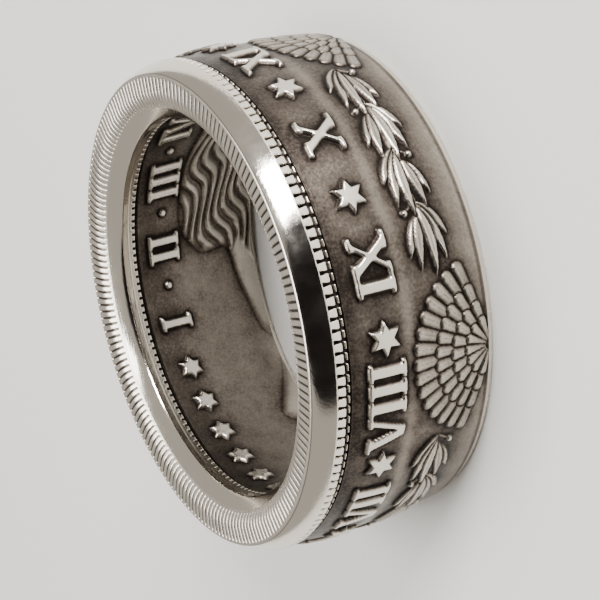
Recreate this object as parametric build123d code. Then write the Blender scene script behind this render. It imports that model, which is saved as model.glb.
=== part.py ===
from build123d import *
import os
from math import atan2, ceil, cos, degrees, hypot, pi, radians, sin

# Driving dimensions in millimetres. The ring lies on its cut edge, its axis is Z,
# and a depth is measured down from the reeded face.
band_width = 10.8
finger_radius = 10.7

face_outer_radius = 13.2
face_turn_radius = 12.3
face_inner_radius = 11.45
face_inner_depth = 0.33

outer_rim_radius = 13.84
outer_bevel_depth = 1.23
outer_bevel_step = 0.24
outer_bevel_fall = 0.74
inner_bevel_depth = 1.05
inner_bevel_step = 0.2
inner_bevel_fall = 0.17
inner_land_width = 0.39

outer_field_radius = 13.68
belly_radius = 13.98
belly_top_depth = 4.3
belly_foot_depth = 6.0
cut_edge_outer_radius = 13.66
inner_field_radius = 11.18
cut_edge_inner_radius = 11.92
cut_edge_chamfer = 0.16

reed_count = 189
reed_groove_width = 0.14
reed_groove_depth = 0.1
reed_outer_margin = 0.2
reed_inner_margin = 0.1

denticle_count = 150
denticle_length = 0.74
denticle_height = 0.26
denticle_gap = 0.17
field_groove_width = 0.12
groove_margin = 0.04
field_ramp = 0.06
inner_denticle_length = 0.62
inner_denticle_height = 0.22
inner_denticle_gap = 0.15
inner_denticle_setback = 0.04

# Raised relief, with its root let into the wall so that it is one with the band.
relief_height = 0.22
inner_relief_height = 0.2
relief_root = 0.2

numeral_top_depth = 3.0
numeral_height = 2.05
stem_width = 0.5
hairline_width = 0.26
serif_reach = 0.2
serif_height = 0.18
stroke_pitch = 0.98
wide_letter_pitch = 2.0
wide_letter_spread = 1.48
star_radius = 0.9
star_waist_share = 0.52

inner_numeral_top_depth = 3.05
inner_numeral_first_angle = 92.0
inner_numeral_pitch = 24.0
inner_dot_radius = 0.22
inner_star_count = 13
inner_star_first_angle = 107.0
inner_star_pitch = 12.0
inner_star_radius = 0.64

# Leaf sprays and fans alternate round the outside, below the numerals.
motif_pairs = 4
spray_first_angle = 22.5
spray_depth = 7.45
spray_span = 52.0
leaf_clusters = 4
leaf_length = 3.5
leaf_width = 0.54
leaf_stagger = 0.14
leaf_side_steps = 4
twig_width = 0.2
twig_height = 0.13
berry_radius = 0.2
berry_reach = 0.95
berry_angle = 58.0
fan_ribs = 15
fan_foot_margin = 0.35
fan_reach = 4.9
fan_foot_reach = 1.05
fan_rib_width = 0.78
fan_rib_foot_width = 0.16
fan_boss_radius = 0.3
fan_spread = 140.0

# A head in profile inside the band. It is laid out on the flat blank, whose hole takes its middle away.
blank_radius = 19.05
blank_hole_radius = 7.94
fold_power = 0.75
head_height = 22.0
head_facing_angle = 118.0
head_edge_margin = 0.05
head_least_depth = 0.15
head_ridge_rise = 0.05
head_section_angle = 6.0
lock_first_angle = -78.0
lock_last_angle = 66.0
lock_rows = 4
lock_width = 0.62
lock_rise = 0.12
lock_sway = 0.18
lock_pitch_angle = 30.0
lock_length_share = 0.86
lock_tip_share = 0.25
lock_steps = 5

numerals = ("XII", "I", "II", "III", "IV", "V", "VI", "VII", "VIII", "IX", "X", "XI")
inner_numerals = ("I", "II", "III", "IV", "V", "VI")

# Leaves of a cluster: turn from the stem in degrees, and length as a share of the longest.
cluster_leaves = ((-35.0, 0.66), (-18.0, 0.9), (-3.0, 1.0), (12.0, 0.88), (28.0, 0.7))

# Outline of the head, as shares of its height from its centre: forward and up.
head_outline = (
    (-0.62, 0.05), (-0.56, 0.30), (-0.38, 0.50), (-0.14, 0.61), (0.08, 0.64), (0.24, 0.59), (0.335, 0.47),
    (0.33, 0.38), (0.385, 0.27), (0.40, 0.14), (0.372, 0.07), (0.485, -0.09), (0.41, -0.135),
    (0.437, -0.18), (0.412, -0.205), (0.427, -0.24), (0.395, -0.28), (0.42, -0.345), (0.36, -0.41),
    (0.24, -0.45), (0.17, -0.62), (-0.05, -0.70), (-0.30, -0.62),
)

outer_field_depth = outer_bevel_depth + denticle_length + field_groove_width + field_ramp
inner_land_depth = inner_bevel_depth + inner_land_width
inner_field_depth = inner_land_depth + inner_denticle_length + field_groove_width + field_ramp
head_foot_depth = band_width - cut_edge_chamfer - head_edge_margin


def outer_wall(depth):
    """Radius and slope of the outer field at a depth: a cone, a cylinder and a cone."""
    if depth < belly_top_depth:
        slope = (belly_radius - outer_field_radius) / (belly_top_depth - outer_field_depth)
        return belly_radius - slope * (belly_top_depth - depth), slope
    if depth < belly_foot_depth:
        return belly_radius, 0.0
    slope = (cut_edge_outer_radius - belly_radius) / (band_width - belly_foot_depth)
    return belly_radius + slope * (depth - belly_foot_depth), slope


def inner_wall(depth):
    """Radius and slope of the inner field at a depth."""
    slope = (cut_edge_inner_radius - inner_field_radius) / (band_width - inner_field_depth)
    return inner_field_radius + slope * (depth - inner_field_depth), slope


def wall_section():
    """Half section of the band, as radius and depth, from the face's inner edge round to the inner bevel."""
    outer_groove_radius = outer_rim_radius - denticle_height - groove_margin
    inner_crest_radius = finger_radius + inner_denticle_setback
    inner_groove_radius = inner_crest_radius + inner_denticle_height + groove_margin
    outer_rim_end = outer_bevel_depth + denticle_length
    inner_rim_end = inner_land_depth + inner_denticle_length
    corners = [
        (face_inner_radius, face_inner_depth),
        (face_turn_radius, 0),
        (face_outer_radius, 0),
        (outer_rim_radius - outer_bevel_step, outer_bevel_depth - outer_bevel_fall),
        (outer_rim_radius, outer_bevel_depth),
        (outer_rim_radius, outer_rim_end),
        (outer_groove_radius, outer_rim_end),
        (outer_groove_radius, outer_rim_end + field_groove_width),
        (outer_field_radius, outer_field_depth),
        (belly_radius, belly_top_depth),
        (belly_radius, belly_foot_depth),
        (outer_wall(band_width - cut_edge_chamfer)[0], band_width - cut_edge_chamfer),
        (cut_edge_outer_radius - cut_edge_chamfer, band_width),
        (cut_edge_inner_radius + cut_edge_chamfer, band_width),
        (inner_wall(band_width - cut_edge_chamfer)[0], band_width - cut_edge_chamfer),
        (inner_field_radius, inner_field_depth),
        (inner_groove_radius, inner_rim_end + field_groove_width),
        (inner_groove_radius, inner_rim_end),
        (inner_crest_radius, inner_rim_end),
        (inner_crest_radius, inner_land_depth),
        (finger_radius, inner_land_depth),
        (finger_radius, inner_bevel_depth),
        (finger_radius + inner_bevel_step, inner_bevel_depth - inner_bevel_fall),
    ]
    return Plane.XZ * Polygon(*[(radius, band_width - depth) for radius, depth in corners], align=None)


def plain_band():
    """The band turned from its section."""
    return revolve(wall_section(), Axis.Z)


def reed_grooves():
    """Narrow grooves that part the reeds and follow the face down its rounded inner side."""
    first = face_inner_radius + reed_inner_margin
    last = face_outer_radius - reed_outer_margin
    fall = face_inner_depth * (face_turn_radius - first) / (face_turn_radius - face_inner_radius)
    floor = [(first, fall), (face_turn_radius, 0), (last, 0)]
    section = Polygon(*[(radius, band_width - depth - reed_groove_depth) for radius, depth in floor],
                      *[(radius, band_width - depth + reed_groove_depth) for radius, depth in reversed(floor)],
                      align=None)
    groove = extrude(Plane.XZ * section, amount=reed_groove_width / 2, both=True)
    return [Rot(0, 0, 360 * i / reed_count) * groove for i in range(reed_count)]


def denticle_slots(crest_radius, first_depth, length, height, gap):
    """Slots between the denticles, open to the groove beside the field."""
    reach = length + field_groove_width / 2
    slot = Pos(crest_radius, 0, band_width - first_depth - reach / 2) * Box(2 * height, gap, reach)
    return [Rot(0, 0, 360 * (i + 0.5) / denticle_count) * slot for i in range(denticle_count)]


def wall_place(angle, depth, outside=True):
    """Frame on the wall: x round the band, y up along the wall, z out of the metal."""
    radius, slope = outer_wall(depth) if outside else inner_wall(depth)
    turn = radians(angle)
    lean = atan2(slope, 1)
    out = 1 if outside else -1
    x_dir = Vector(-sin(turn), cos(turn), 0) * out
    normal = Vector(cos(turn) * cos(lean), sin(turn) * cos(lean), sin(lean)) * out
    origin = (radius * cos(turn), radius * sin(turn), band_width - depth)
    return Plane(origin=origin, x_dir=x_dir, z_dir=normal)


def raised(outline, height):
    """A raised form with its root in the wall."""
    return extrude(Pos(0, 0, -relief_root) * outline, amount=height + relief_root)


def stroke(lower, upper, width):
    """A stroke of a numeral, from its foot line to its head line."""
    half = numeral_height / 2
    corners = ((lower - width / 2, -half), (lower + width / 2, -half),
               (upper + width / 2, half), (upper - width / 2, half))
    return Polygon(*corners, align=None)


def serif(x, side, width):
    """The short bar that ends a stroke."""
    y = side * (numeral_height - serif_height) / 2
    return Pos(x, y) * Rectangle(width + 2 * serif_reach, serif_height)


def glyph(letter):
    """One numeral letter, centred."""
    arm = wide_letter_spread / 2
    if letter == "I":
        return stroke(0, 0, stem_width) + serif(0, 1, stem_width) + serif(0, -1, stem_width)
    if letter == "V":
        foot = (stem_width - hairline_width) / 4
        form = stroke(-foot, -arm, stem_width) + stroke(foot, arm, hairline_width)
        return form + serif(-arm, 1, stem_width) + serif(arm, 1, hairline_width)
    form = stroke(arm, -arm, stem_width) + stroke(-arm, arm, hairline_width)
    for side in (1, -1):
        form = form + serif(-side * arm, side, stem_width) + serif(side * arm, side, hairline_width)
    return form


def glyph_width(letter):
    """Room that a letter takes in its row."""
    return stroke_pitch if letter == "I" else wide_letter_pitch


def numeral_row(height, top_depth, centres, texts, outside):
    """Numerals round the wall, each centred on its own angle."""
    depth = top_depth + numeral_height / 2
    radius = outer_wall(depth)[0] if outside else inner_wall(depth)[0]
    forms = {letter: raised(glyph(letter), height) for letter in "IVX"}
    placed = []
    for centre, text in zip(centres, texts):
        place = -sum(glyph_width(letter) for letter in text) / 2
        for letter in text:
            offset = place + glyph_width(letter) / 2
            place = place + glyph_width(letter)
            angle = centre + degrees(offset / radius) * (1 if outside else -1)
            placed.append(wall_place(angle, depth, outside) * forms[letter])
    return placed


def star(radius):
    """Six-pointed star."""
    points = []
    for i in range(12):
        reach = radius if i % 2 == 0 else radius * star_waist_share
        points.append((reach * cos(pi * i / 6), reach * sin(pi * i / 6)))
    return Polygon(*points, align=None)


def leaf(length):
    """Leaf that grows along +X, centred on its length, with pointed ends and bowed sides."""
    points = []
    for i in range(2 * leaf_side_steps):
        turn = pi * i / leaf_side_steps
        points.append((-length / 2 * cos(turn), -leaf_width / 2 * sin(turn)))
    return Polygon(*points, align=None)


def around(centre, depth, across, up):
    """Angle and depth of a point given by its distances round and up the outer wall from another."""
    return centre + degrees(across / outer_wall(depth - up)[0]), depth - up


def spray(centre):
    """Stem that grows towards falling angles, with a cluster of leaves and a berry at each node.

    The leaves of a cluster leave the stem one after another, a little further along it.
    """
    stem_length = radians(spray_span) * outer_wall(spray_depth)[0] - leaf_length
    pitch = stem_length / (leaf_clusters - 1)
    leaf_forms = [raised(leaf(leaf_length * share), relief_height) for turn, share in cluster_leaves]
    twig_form = raised(Rectangle(pitch, twig_width), twig_height)
    placed = []
    for i in range(leaf_clusters):
        side = 1 if i % 2 == 0 else -1
        node = (stem_length + leaf_length) / 2 - i * pitch
        for j, (form, (turn, share)) in enumerate(zip(leaf_forms, cluster_leaves)):
            heading = 180 + side * turn
            middle = leaf_length * share / 2
            foot = node - leaf_stagger * j
            across, up = foot + middle * cos(radians(heading)), middle * sin(radians(heading))
            placed.append(wall_place(*around(centre, spray_depth, across, up)) * Rot(0, 0, heading) * form)
        heading = radians(180 + side * berry_angle)
        across, up = node + berry_reach * cos(heading), berry_reach * sin(heading)
        placed.append(wall_place(*around(centre, spray_depth, across, up)) * Sphere(berry_radius))
        if i < leaf_clusters - 1:
            placed.append(wall_place(*around(centre, spray_depth, node - pitch / 2, 0)) * twig_form)
    return placed


def fan(centre):
    """Ribs that spread from a foot near the cut edge."""
    foot_depth = band_width - fan_foot_margin
    half_length = (fan_reach - fan_foot_reach) / 2
    foot = fan_rib_foot_width / 2
    end = fan_rib_width / 2
    rib = make_face([
        Line((-half_length, -foot), (half_length - end, -end)),
        ThreePointArc((half_length - end, -end), (half_length, 0), (half_length - end, end)),
        Line((half_length - end, end), (-half_length, foot)),
        Line((-half_length, foot), (-half_length, -foot)),
    ])
    rib_form = raised(rib, relief_height)
    placed = []
    for i in range(fan_ribs):
        turn = 90 + fan_spread * (i / (fan_ribs - 1) - 0.5)
        middle = fan_foot_reach + half_length
        across, up = middle * cos(radians(turn)), middle * sin(radians(turn))
        placed.append(wall_place(*around(centre, foot_depth, across, up)) * Rot(0, 0, turn) * rib_form)
    placed.append(wall_place(centre, foot_depth) * raised(Circle(fan_boss_radius), relief_height))
    return placed


def star_row(angles, depth, radius, height, outside):
    """Stars round the wall."""
    form = raised(star(radius), height)
    return [wall_place(angle, depth, outside) * form for angle in angles]


def fold_depth(blank_reach):
    """Depth on the band of a point of the flat blank, from its distance to the blank's centre."""
    share = (blank_radius - max(blank_reach, blank_hole_radius)) / (blank_radius - blank_hole_radius)
    return min(band_width * share**fold_power, head_foot_depth - head_least_depth)


def head_depths():
    """Angle round the band and depth of each point of the head's outline, by rising angle."""
    points = []
    for forward, up in head_outline:
        angle = head_facing_angle - degrees(atan2(up, forward))
        points.append((angle, fold_depth(head_height * hypot(forward, up))))
    return sorted(points)


def outline_depth(angle, points):
    """Depth of the head's outline at an angle."""
    for (low, low_depth), (high, high_depth) in zip(points, points[1:]):
        if low <= angle <= high:
            return low_depth + (high_depth - low_depth) * (angle - low) / (high - low)
    return points[0][1] if angle < points[0][0] else points[-1][1]


def inner_section(angle, top_depth, foot_depth, height, base):
    """Radial section of a raised form on the inner wall."""
    top_radius, foot_radius = inner_wall(top_depth)[0], inner_wall(foot_depth)[0]
    corners = [(top_radius + relief_root, top_depth), (top_radius - base, top_depth),
               ((top_radius + foot_radius) / 2 - base - height, (top_depth + foot_depth) / 2),
               (foot_radius - base, foot_depth), (foot_radius + relief_root, foot_depth)]
    section = Polygon(*[(radius, band_width - depth) for radius, depth in corners], align=None)
    return Rot(0, 0, angle) * (Plane.XZ * section)


def head():
    """Low relief of the head and hair, from its outline down to the cut edge."""
    points = head_depths()
    angles = []
    for (low, low_depth), (high, high_depth) in zip(points, points[1:]):
        steps = max(1, ceil((high - low) / head_section_angle))
        angles += [low + (high - low) * step / steps for step in range(steps)]
    sections = [
        inner_section(angle, outline_depth(angle, points), head_foot_depth, head_ridge_rise,
                      inner_relief_height)
        for angle in angles + [points[-1][0]]
    ]
    return loft(sections, ruled=True)


def lock(row, first_angle, points):
    """One wavy lock, thin at both ends, in a row that follows the head's outline."""
    sections = []
    for step in range(lock_steps + 1):
        along = step / lock_steps
        angle = first_angle + lock_length_share * along * lock_pitch_angle
        top_depth = outline_depth(angle, points)
        room = (head_foot_depth - top_depth) / lock_rows
        middle = top_depth + room * (row + 0.5 + lock_sway * sin(2 * pi * along))
        fullness = lock_tip_share + (1 - lock_tip_share) * sin(pi * along)
        half = min(lock_width, room) / 2 * fullness
        sections.append(inner_section(angle, middle - half, middle + half, lock_rise, inner_relief_height))
    return loft(sections, ruled=True)


def locks():
    """The hair, in staggered rows of locks."""
    points = head_depths()
    columns = ceil((lock_last_angle - lock_first_angle) / lock_pitch_angle)
    return [
        lock(row, lock_first_angle + (column + 0.5 * (row % 2)) * lock_pitch_angle, points)
        for row in range(lock_rows)
        for column in range(columns)
    ]


def outside_relief():
    """Numerals with stars between them, and below them leaf sprays and fans in turn."""
    pitch = 360.0 / len(numerals)
    angles = [pitch * i for i in range(len(numerals))]
    forms = numeral_row(relief_height, numeral_top_depth, angles, numerals, True)
    star_depth = numeral_top_depth + numeral_height / 2
    forms += star_row([angle + pitch / 2 for angle in angles], star_depth, star_radius, relief_height, True)
    motif_pitch = 360.0 / motif_pairs
    for i in range(motif_pairs):
        forms += spray(spray_first_angle + i * motif_pitch)
        forms += fan(spray_first_angle + (i + 0.5) * motif_pitch)
    return forms


def inside_relief():
    """Numerals with dots between them, a row of stars, and the head with its hair."""
    depth = inner_numeral_top_depth + numeral_height / 2
    angles = [inner_numeral_first_angle - inner_numeral_pitch * i for i in range(len(inner_numerals))]
    forms = numeral_row(inner_relief_height, inner_numeral_top_depth, angles, inner_numerals, False)
    dot = raised(Circle(inner_dot_radius), inner_relief_height)
    forms += [wall_place(angle - inner_numeral_pitch / 2, depth, False) * dot for angle in angles]
    star_angles = [inner_star_first_angle + inner_star_pitch * i for i in range(inner_star_count)]
    forms += star_row(star_angles, depth, inner_star_radius, inner_relief_height, False)
    return forms + [head().fuse(*locks())]


def coin_ring():
    """The band with its reeds, denticles and relief, all one metal."""
    slots = denticle_slots(outer_rim_radius, outer_bevel_depth, denticle_length,
                           denticle_height, denticle_gap)
    slots += denticle_slots(finger_radius + inner_denticle_setback, inner_land_depth,
                            inner_denticle_length, inner_denticle_height, inner_denticle_gap)
    return plain_band().cut(*reed_grooves(), *slots).fuse(*outside_relief(), *inside_relief())


os.makedirs("parts", exist_ok=True)
export_step(coin_ring(), "parts/coin_ring.step")
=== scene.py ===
import math

import bpy
import numpy as np
from mathutils import Matrix, Vector


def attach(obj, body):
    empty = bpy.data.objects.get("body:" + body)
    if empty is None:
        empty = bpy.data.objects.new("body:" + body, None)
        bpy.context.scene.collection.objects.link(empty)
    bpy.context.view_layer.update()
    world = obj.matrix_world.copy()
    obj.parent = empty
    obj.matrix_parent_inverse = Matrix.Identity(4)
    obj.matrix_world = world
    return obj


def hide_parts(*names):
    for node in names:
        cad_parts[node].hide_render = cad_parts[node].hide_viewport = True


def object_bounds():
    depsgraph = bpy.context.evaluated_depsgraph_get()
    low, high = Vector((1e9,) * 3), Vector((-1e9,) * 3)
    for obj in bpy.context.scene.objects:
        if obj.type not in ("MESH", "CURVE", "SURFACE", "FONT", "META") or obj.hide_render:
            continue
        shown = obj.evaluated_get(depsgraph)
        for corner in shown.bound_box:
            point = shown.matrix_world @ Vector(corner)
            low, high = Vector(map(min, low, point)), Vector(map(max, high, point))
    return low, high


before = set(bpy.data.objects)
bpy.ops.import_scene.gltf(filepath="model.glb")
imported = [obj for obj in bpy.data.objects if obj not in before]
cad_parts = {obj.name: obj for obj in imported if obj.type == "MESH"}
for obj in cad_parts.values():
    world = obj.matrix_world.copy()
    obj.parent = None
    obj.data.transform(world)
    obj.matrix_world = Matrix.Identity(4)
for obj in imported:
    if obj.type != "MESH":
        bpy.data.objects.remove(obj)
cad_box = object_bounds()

# The band. A large silver coin was punched through its middle, folded over a mandrel and
# stretched until its edge became one end of a band and the hole the other. All sizes here are
# millimetres, the ring lies on the cut hole edge, and depths run down from the reeded face.
MM = 0.001
band_width = 1000 * (cad_box[1][2] - cad_box[0][2])
outer_field_radius = 13.68
outer_field_depth = 2.12
belly_radius = 13.98
belly_depth = 5.15
cut_edge_outer_radius = 13.66
inner_field_radius = 11.18
inner_field_depth = 2.24
cut_edge_inner_radius = 11.92


def outer_wall(depth):
    """Radius of the outer field, bellied between the rim and the cut edge."""
    above = outer_field_radius - belly_radius
    below = cut_edge_outer_radius - belly_radius
    rise = (belly_depth - depth) / (belly_depth - outer_field_depth)
    fall = (depth - belly_depth) / (band_width - belly_depth)
    return belly_radius + np.where(depth < belly_depth, above * rise**2, below * fall**2)


def inner_wall(depth):
    """Radius of the inner field, which widens towards the cut edge."""
    share = (depth - inner_field_depth) / (band_width - inner_field_depth)
    return inner_field_radius + (cut_edge_inner_radius - inner_field_radius) * share


def turned_mesh(name, radius, depth, tarnish, sharp_rows, sector=None):
    """Mesh of a closed section turned about the axis, from arrays of radius, depth and tarnish.

    A row is a point of the section and a column an angle, all round or at the angles of one sector.
    """
    rows, columns = radius.shape
    turn = np.arange(columns) * (2 * math.pi / columns) if sector is None else sector
    points = np.empty((rows, columns, 3))
    points[..., 0] = radius * np.cos(turn)
    points[..., 1] = radius * np.sin(turn)
    points[..., 2] = band_width - depth
    here = np.arange(rows * columns).reshape(rows, columns)
    up = np.roll(here, -1, axis=0)
    quads = np.stack([here, np.roll(here, -1, axis=1), np.roll(up, -1, axis=1), up], axis=-1)
    quads = (quads if sector is None else quads[:, :-1]).reshape(-1, 4)
    across, down = radius[:, 0], depth[:, 0]
    section_area = np.sum(across * np.roll(down, -1) - np.roll(across, -1) * down)
    if section_area > 0:
        quads = quads[:, ::-1]
    mesh = bpy.data.meshes.new(name)
    mesh.vertices.add(rows * columns)
    mesh.vertices.foreach_set("co", (points * MM).ravel())
    mesh.loops.add(quads.size)
    mesh.loops.foreach_set("vertex_index", quads.ravel().astype(np.int32))
    mesh.polygons.add(len(quads))
    mesh.polygons.foreach_set("loop_start", np.arange(0, quads.size, 4, dtype=np.int32))
    mesh.polygons.foreach_set("use_smooth", np.ones(len(quads), dtype=bool))
    # The tarnish attribute holds patina and, on the outer field, painted shade along the foot of the rim.
    stain = np.clip(tarnish, 0, 1).ravel().astype(np.float32)
    mesh.attributes.new("tarnish", "FLOAT", "POINT")
    mesh.attributes["tarnish"].data.foreach_set("value", stain)
    mesh.update(calc_edges=True)
    ends = np.empty(2 * len(mesh.edges), dtype=np.int32)
    mesh.edges.foreach_get("vertices", ends)
    first_row, second_row = (ends.reshape(-1, 2) // columns).T
    sharp = (first_row == second_row) & np.isin(first_row, [row % rows for row in sharp_rows])
    mesh.attributes.new("sharp_edge", "BOOLEAN", "EDGE")
    mesh.attributes["sharp_edge"].data.foreach_set("value", sharp)
    return mesh


def add_piece(name, mesh, material):
    """A finished piece of the ring: it rides with the band and stands for the solid."""
    piece = bpy.data.objects.new(name, mesh)
    bpy.context.scene.collection.objects.link(piece)
    if not mesh.materials:
        mesh.materials.append(material)
    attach(piece, "root")
    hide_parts("coin_ring")


def add_turned_piece(name, section, columns, tarnish, sharp_rows, material):
    """A piece that is alike all round, from one radius, depth and tarnish for each point of its section."""
    section = np.array(section)
    radius, depth, stain = (np.repeat(np.reshape(values, (-1, 1)), columns, axis=1)
                            for values in (section[:, 0], section[:, 1], tarnish))
    add_piece(name, turned_mesh(name, radius, depth, stain, sharp_rows), material)


def noise(nodes, links, vector, scale, detail, roughness=0.5):
    """Value of a noise texture."""
    texture = nodes.new("ShaderNodeTexNoise")
    texture.inputs["Scale"].default_value = scale
    texture.inputs["Detail"].default_value = detail
    texture.inputs["Roughness"].default_value = roughness
    links.new(vector, texture.inputs["Vector"])
    return texture.outputs["Fac"]


def stretch(nodes, links, value, start, end):
    """Map a value from one range to another."""
    mapped = nodes.new("ShaderNodeMapRange")
    mapped.inputs["From Min"].default_value, mapped.inputs["From Max"].default_value = start
    mapped.inputs["To Min"].default_value, mapped.inputs["To Max"].default_value = end
    links.new(value, mapped.inputs["Value"])
    return mapped.outputs["Result"]


def combine(nodes, links, operation, first, second, clamp=False):
    """Sum or product of two values."""
    joined = nodes.new("ShaderNodeMath")
    joined.operation = operation
    joined.use_clamp = clamp
    links.new(first, joined.inputs[0])
    links.new(second, joined.inputs[1])
    return joined.outputs["Value"]


def bump(nodes, links, height, strength, distance):
    """Bump node over a height."""
    relief = nodes.new("ShaderNodeBump")
    relief.inputs["Strength"].default_value = strength
    relief.inputs["Distance"].default_value = distance
    links.new(height, relief.inputs["Height"])
    return relief


def coin_silver(name, polish, grain, scratches):
    """Worn coin silver: bright where it is rubbed, brown-black where tarnish was left in the recesses; the
    tarnish attribute also carries painted shade along the foot of the outer rim.
    """
    material = bpy.data.materials.new(name)
    material.use_nodes = True
    nodes, links = material.node_tree.nodes, material.node_tree.links
    shader = nodes["Principled BSDF"]
    shader.inputs["Metallic"].default_value = 1.0
    shader.inputs["IOR"].default_value = 1.45
    place = nodes.new("ShaderNodeTexCoord").outputs["Object"]
    tarnish = nodes.new("ShaderNodeAttribute")
    tarnish.attribute_name = "tarnish"
    cloud = noise(nodes, links, place, 900.0, 6.0, 0.62)
    pits = noise(nodes, links, place, 6500.0, 4.0)

    patches = stretch(nodes, links, cloud, (0.3, 0.7), (0.88, 1.14))
    specks = stretch(nodes, links, pits, (0.35, 0.65), (0.9, 1.1))
    patchy = combine(nodes, links, "MULTIPLY", tarnish.outputs["Fac"], patches)
    stain = combine(nodes, links, "MULTIPLY", patchy, specks, clamp=True)
    tone = nodes.new("ShaderNodeValToRGB")
    stops = ((0.0, (0.80, 0.752, 0.675)), (0.16, (0.50, 0.46, 0.405)), (0.36, (0.235, 0.205, 0.172)),
             (0.6, (0.088, 0.073, 0.061)), (0.82, (0.03, 0.0235, 0.02)), (1.0, (0.013, 0.0102, 0.0088)))
    tones = tone.color_ramp
    while len(tones.elements) < len(stops):
        tones.elements.new(0.5)
    for element, (position, colour) in zip(tones.elements, stops):
        element.position = position
        element.color = (*colour, 1.0)
    links.new(stain, tone.inputs["Fac"])
    links.new(tone.outputs["Color"], shader.inputs["Base Color"])

    dull = stretch(nodes, links, stain, (0.0, 0.8), (polish, polish + 0.18))
    smears = stretch(nodes, links, cloud, (0.3, 0.75), (-0.03, 0.06))
    links.new(combine(nodes, links, "ADD", dull, smears), shader.inputs["Roughness"])

    strokes = nodes.new("ShaderNodeMapping")
    strokes.inputs["Rotation"].default_value = (0.3, 0.5, 0.9)
    strokes.inputs["Scale"].default_value = (900.0, 9000.0, 7000.0)
    links.new(place, strokes.inputs["Vector"])
    scored = bump(nodes, links, noise(nodes, links, strokes.outputs["Vector"], 1.0, 2.0), scratches, 0.00001)
    rough_skin = bump(nodes, links, pits, grain, 0.00003)
    links.new(scored.outputs["Normal"], rough_skin.inputs["Normal"])
    links.new(rough_skin.outputs["Normal"], shader.inputs["Normal"])
    return material


# The rim. It is the coin's own raised rim, turned over and buffed bright on both sides of the
# reeded face: a round bevel outside and the smooth land inside that a finger meets first.
polished_silver = coin_silver("polished_silver", polish=0.11, grain=0.05, scratches=0.45)
finger_radius = 10.7
face_outer_radius = 13.2
face_rim_radius = 11.33
face_turn_radius = 12.3
face_curve = 0.45
outer_rim_radius = 13.84
outer_floor_radius = 13.57
outer_bevel_depth = 1.14
inner_floor_radius = 10.92
inner_bevel_depth = 1.15
inner_land_depth = 1.44
core_radius = 12.55
bevel_start = (face_outer_radius + 0.05, 0.05)
bevel_corner = (outer_rim_radius - 0.27, 0.43)
bevel_end = (outer_rim_radius - 0.03, outer_bevel_depth)
outer_bevel_steps = 26
inner_bevel_steps = 22
land_steps = 3
seat_steps = 4
seat_depth = 0.2
overlap = 0.1
seam_tarnish = 0.4
rim_columns = 450


def face_depth(radius):
    """Depth of the end face, which rounds over towards the finger hole."""
    return face_curve * np.clip(face_turn_radius - radius, 0, None) ** 2


def bend(start, corner, end, count):
    """Points of the round bend from one point past a corner to another, without the last."""
    share = np.linspace(0, 1, count, endpoint=False)[:, None]
    start, corner, end = (np.array(point) for point in (start, corner, end))
    return (1 - share) ** 2 * start + 2 * share * (1 - share) * corner + share**2 * end


def straight(start, end, count):
    """Points of a straight run, without the last."""
    return bend(start, (np.array(start) + np.array(end)) / 2, end, count)


face_rim_depth = float(face_depth(face_rim_radius))
face_rim_slope = 2 * face_curve * (face_turn_radius - face_rim_radius)
inner_corner_depth = face_rim_depth + face_rim_slope * (face_rim_radius - finger_radius)
inner_bevel = bend((face_rim_radius, face_rim_depth), (finger_radius, inner_corner_depth),
                   (finger_radius, inner_bevel_depth), inner_bevel_steps)[::-1]
rim_section = np.concatenate([
    [(finger_radius, inner_land_depth), (finger_radius, inner_land_depth - 0.01)],
    straight((finger_radius, inner_land_depth - 0.06), (finger_radius, inner_bevel_depth), land_steps),
    inner_bevel,
    straight((face_rim_radius + 0.01, face_rim_depth + overlap), (face_outer_radius, seat_depth), seat_steps),
    [(face_outer_radius, seat_depth)],
    bend(bevel_start, bevel_corner, bevel_end, outer_bevel_steps),
    [(bevel_end[0] - 0.003, bevel_end[1] - 0.008), bevel_end],
    [(outer_floor_radius - overlap, outer_bevel_depth + 0.03), (core_radius, outer_bevel_depth + 0.2)],
    [(core_radius, inner_land_depth + overlap), (inner_floor_radius + overlap, inner_land_depth + 0.02)],
])
face_inner_row = 2 + land_steps + inner_bevel_steps - 1
face_outer_row = face_inner_row + seat_steps + 2
rim_tarnish = np.zeros(len(rim_section))
rim_tarnish[face_outer_row] = seam_tarnish
add_turned_piece("rim", rim_section, rim_columns, rim_tarnish,
                 [0, face_inner_row, face_outer_row, len(rim_section) - 5], polished_silver)


# The reeded face. The collar of the press cut 189 ridges across the coin's edge, which is now the
# end face. Narrow grooves part them, dark with tarnish, and run out before either rim of the face.
reed_count = 189
reed_shares = np.array((-0.5, -0.3, -0.22, -0.16, -0.11, -0.05, 0.05, 0.11, 0.16, 0.22, 0.3, 0.5))
reed_crown_share = 0.3
reed_crown_height = 0.006
reed_groove_depth = 0.09
groove_edge_shares = (0.09, 0.2)
groove_inner_end = (11.42, 11.56)
groove_outer_end = (12.98, 13.1)
groove_shallow_run = (11.6, 12.4)
groove_shallow_share = 0.65
groove_tarnish = 0.7
face_tarnish_level = 0.03
face_radii = (face_rim_radius, 11.34, 11.4, 11.46, 11.52, 11.6, 11.72, 11.86, 12.0, 12.15, face_turn_radius,
              12.6, 12.85, 12.96, 13.02, 13.08)
face_bend_radius = 13.13


def ramp(value, start, end):
    """Share of the way from one value to another, eased at both ends."""
    share = np.clip((value - start) / (end - start), 0, 1)
    return share * share * (3 - 2 * share)


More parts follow.
